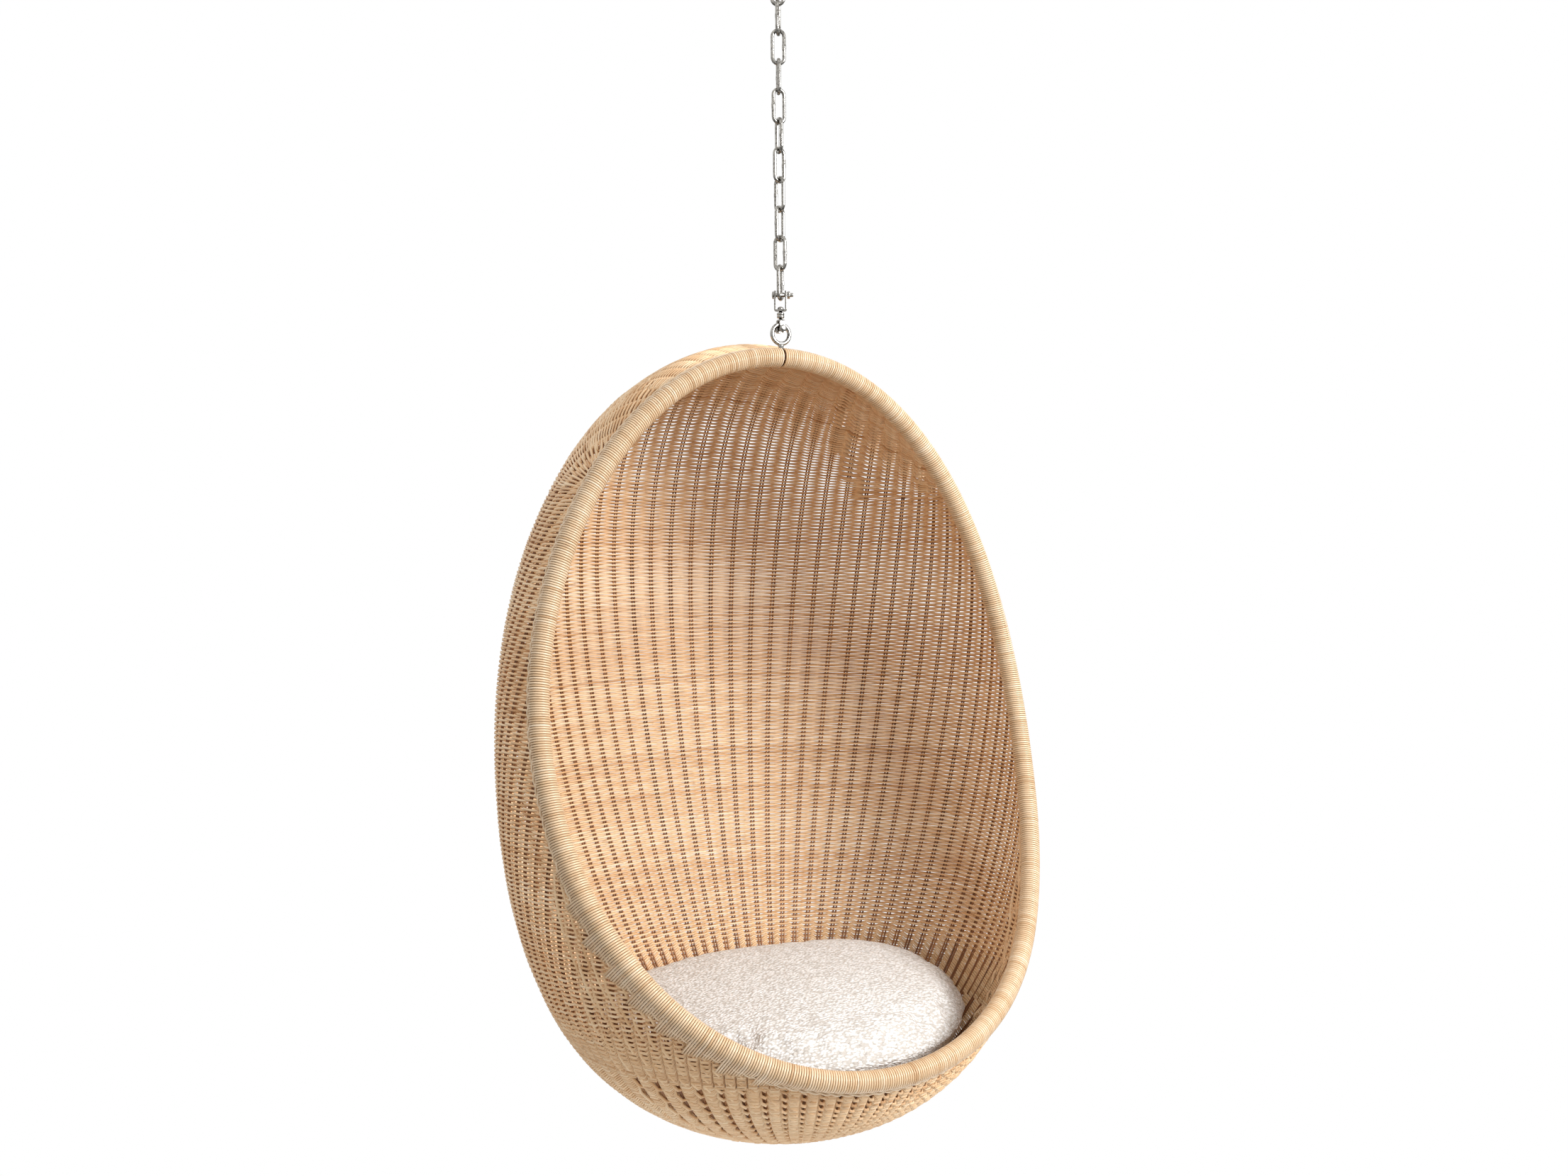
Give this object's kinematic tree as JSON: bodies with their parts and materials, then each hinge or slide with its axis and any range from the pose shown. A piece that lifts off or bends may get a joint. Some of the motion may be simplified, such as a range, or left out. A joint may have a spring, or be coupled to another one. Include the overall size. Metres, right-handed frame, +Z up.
{
  "type": "hanging egg chair",
  "caption": "Egg-shaped hanging chair woven from cane over a bent rim pole, with a loose seat cushion, a swivel and a long-link chain up to a ceiling plate.",
  "frame": {"origin": "middle of the ceiling plate's top face", "axes": "+Z up, the open front faces -Y, +X is the sitter's left"},
  "size_m": [0.8318, 0.7332, 1.7479],
  "materials": {
    "ceiling_plate": "polished",
    "ceiling_eye": "polished",
    "chain_link_01": "polished",
    "chain_link_02": "polished",
    "chain_link_03": "polished",
    "chain_link_04": "polished",
    "chain_link_05": "polished",
    "chain_link_06": "polished",
    "chain_link_07": "polished",
    "chain_link_08": "polished",
    "chain_link_09": "polished",
    "chain_link_10": "polished",
    "chain_link_11": "polished",
    "upper_jaw": "polished",
    "upper_pin": "polished",
    "upper_nut": "polished",
    "swivel_post": "polished",
    "swivel_collar": "polished",
    "lower_jaw": "polished",
    "lower_pin": "polished",
    "lower_nut": "polished",
    "screw_eye": "polished",
    "rim_pole": "satin",
    "rim_binding": "satin",
    "rim_border": "satin",
    "woven_foot_right": "satin",
    "woven_foot_back_right": "satin",
    "woven_foot_back_left": "satin",
    "woven_foot_left": "satin",
    "woven_waist_right": "satin",
    "woven_waist_back_right": "satin",
    "woven_waist_back_left": "satin",
    "woven_waist_left": "satin",
    "woven_crown_right": "satin",
    "woven_crown_back_right": "satin",
    "woven_crown_back_left": "satin",
    "woven_crown_left": "satin",
    "cushion_cover": "matte",
    "cushion_pad": "matte",
    "cushion_zip": "matte"
  },
  "bodies": {
    "ceiling_fitting": {"ceiling_plate": "ceiling_plate", "ceiling_eye": "ceiling_eye"},
    "link_01": {"chain_link_01": "chain_link_01"},
    "chain_upper": {"chain_link_02": "chain_link_02", "chain_link_03": "chain_link_03", "chain_link_04": "chain_link_04", "chain_link_05": "chain_link_05", "chain_link_06": "chain_link_06"},
    "chain_lower": {"chain_link_07": "chain_link_07", "chain_link_08": "chain_link_08", "chain_link_09": "chain_link_09", "chain_link_10": "chain_link_10", "chain_link_11": "chain_link_11"},
    "upper_jaw": {"upper_jaw": "upper_jaw", "upper_pin": "upper_pin", "upper_nut": "upper_nut"},
    "lower_jaw": {"swivel_post": "swivel_post", "swivel_collar": "swivel_collar", "lower_jaw": "lower_jaw", "lower_pin": "lower_pin", "lower_nut": "lower_nut"},
    "basket": {"screw_eye": "screw_eye", "rim_pole": "rim_pole", "rim_binding": "rim_binding", "rim_border": "rim_border", "woven_foot_right": "woven_foot_right", "woven_foot_back_right": "woven_foot_back_right", "woven_foot_back_left": "woven_foot_back_left", "woven_foot_left": "woven_foot_left", "woven_waist_right": "woven_waist_right", "woven_waist_back_right": "woven_waist_back_right", "woven_waist_back_left": "woven_waist_back_left", "woven_waist_left": "woven_waist_left", "woven_crown_right": "woven_crown_right", "woven_crown_back_right": "woven_crown_back_right", "woven_crown_back_left": "woven_crown_back_left", "woven_crown_left": "woven_crown_left"},
    "cushion": {"cushion_cover": "cushion_cover", "cushion_pad": "cushion_pad", "cushion_zip": "cushion_zip"}
  },
  "joints": [
    {"name": "chain_hinge_top", "type": "hinge", "parent": "ceiling_fitting", "child": "link_01", "pos_m": [0, 0, -0.0365], "axis": [0.5878, 0.809, 0], "range_deg": [-25, 25]},
    {"name": "chain_hinge_second", "type": "hinge", "parent": "link_01", "child": "chain_upper", "pos_m": [0, 0, -0.07915], "axis": [0.809, -0.5878, 0], "range_deg": [-25, 25]},
    {"name": "chain_hinge_middle", "type": "hinge", "parent": "chain_upper", "child": "chain_lower", "pos_m": [0, 0, -0.29615], "axis": [0.0872, 0.9962, 0], "range_deg": [-8, 8]},
    {"name": "upper_jaw_hinge", "type": "hinge", "parent": "chain_lower", "child": "upper_jaw", "pos_m": [0, 0, -0.5071], "axis": [0.8829, -0.4695, 0], "range_deg": [-12, 12]},
    {"name": "swivel", "type": "hinge", "parent": "upper_jaw", "child": "lower_jaw", "pos_m": [0, 0, -0.5332], "axis": [0, 0, 1], "continuous": true},
    {"name": "basket_hinge", "type": "hinge", "parent": "lower_jaw", "child": "basket", "pos_m": [0, 0, -0.5571], "axis": [0, 1, 0], "range_deg": [-20, 20]},
    {"name": "cushion_lift", "type": "slide", "parent": "basket", "child": "cushion", "axis": [0, 0, 1], "range_m": [0, 0.2]}
  ]
}
